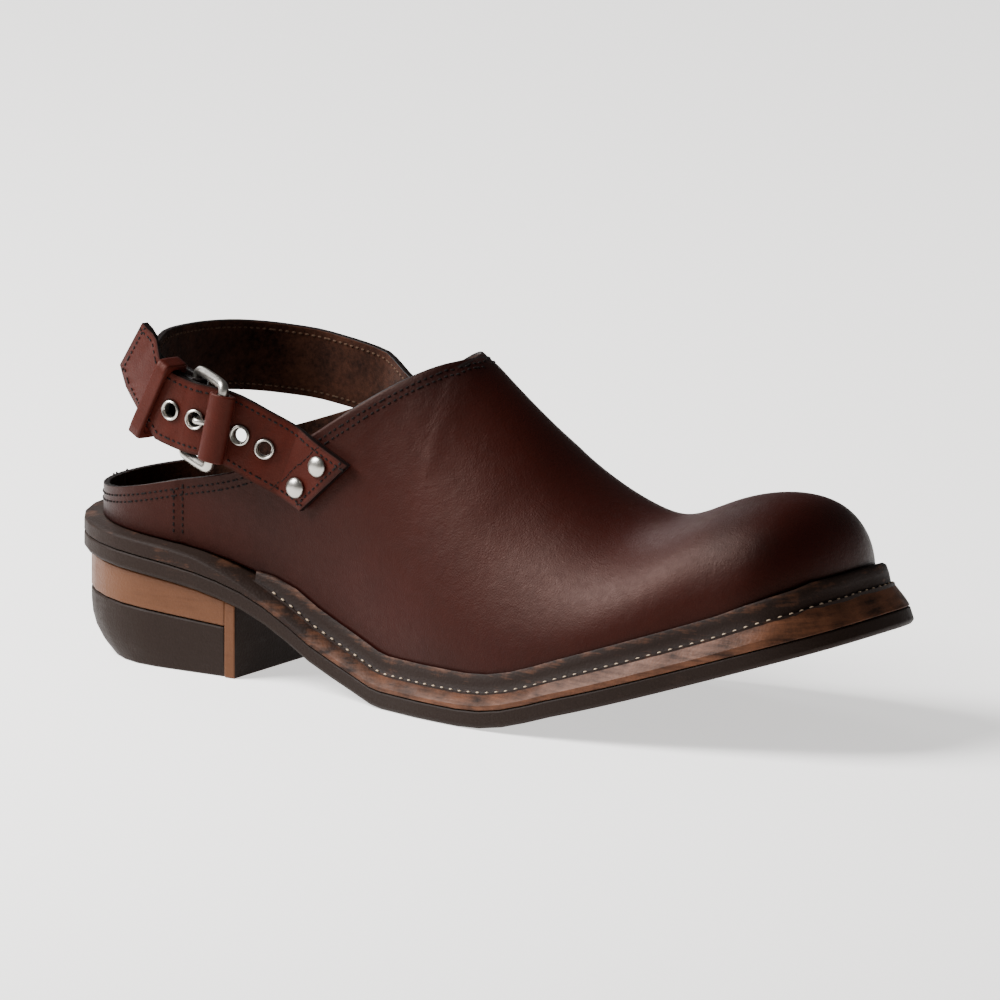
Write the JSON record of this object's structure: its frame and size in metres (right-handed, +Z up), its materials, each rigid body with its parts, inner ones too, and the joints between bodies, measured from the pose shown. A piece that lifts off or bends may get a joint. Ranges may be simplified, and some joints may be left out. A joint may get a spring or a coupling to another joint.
{
  "type": "slingback clog shoe",
  "caption": "Right-foot slingback clog with a high hollow vamp, square welted sole, low block heel and a buckled heel strap.",
  "frame": {"origin": "middle of the heel's tread, on the floor", "axes": "+X from the heel to the toe, +Y to the inner side of the foot, +Z up"},
  "size_m": [0.28, 0.099, 0.1024],
  "materials": {
    "upper": "burnished brown leather, semi-gloss",
    "strap": "burnished brown leather, semi-gloss",
    "lining": "dark brown suede, matt",
    "welt": "dark brown welt leather, satin",
    "edge": "rubbed tan edge, satin",
    "lift": "natural tan lift, satin",
    "outsole": "dark brown rubber, matt",
    "nickel": "polished nickel"
  },
  "bodies": {
    "root": {"outsole": "outsole", "midsole": "edge", "welt": "welt", "heel_lift": "lift", "heel_block": "outsole", "heel_breast": "edge", "upper": "upper", "insole": "lining", "strap_back": "strap", "strap_tab": "strap", "keeper": "strap", "buckle_frame": "nickel", "buckle_prong": "nickel", "buckle_sleeve": "strap", "eyelet_1": "nickel", "eyelet_2": "nickel", "eyelet_3": "nickel", "eyelet_4": "nickel", "rivet_1": "nickel", "rivet_2": "nickel"}
  },
  "joints": []
}
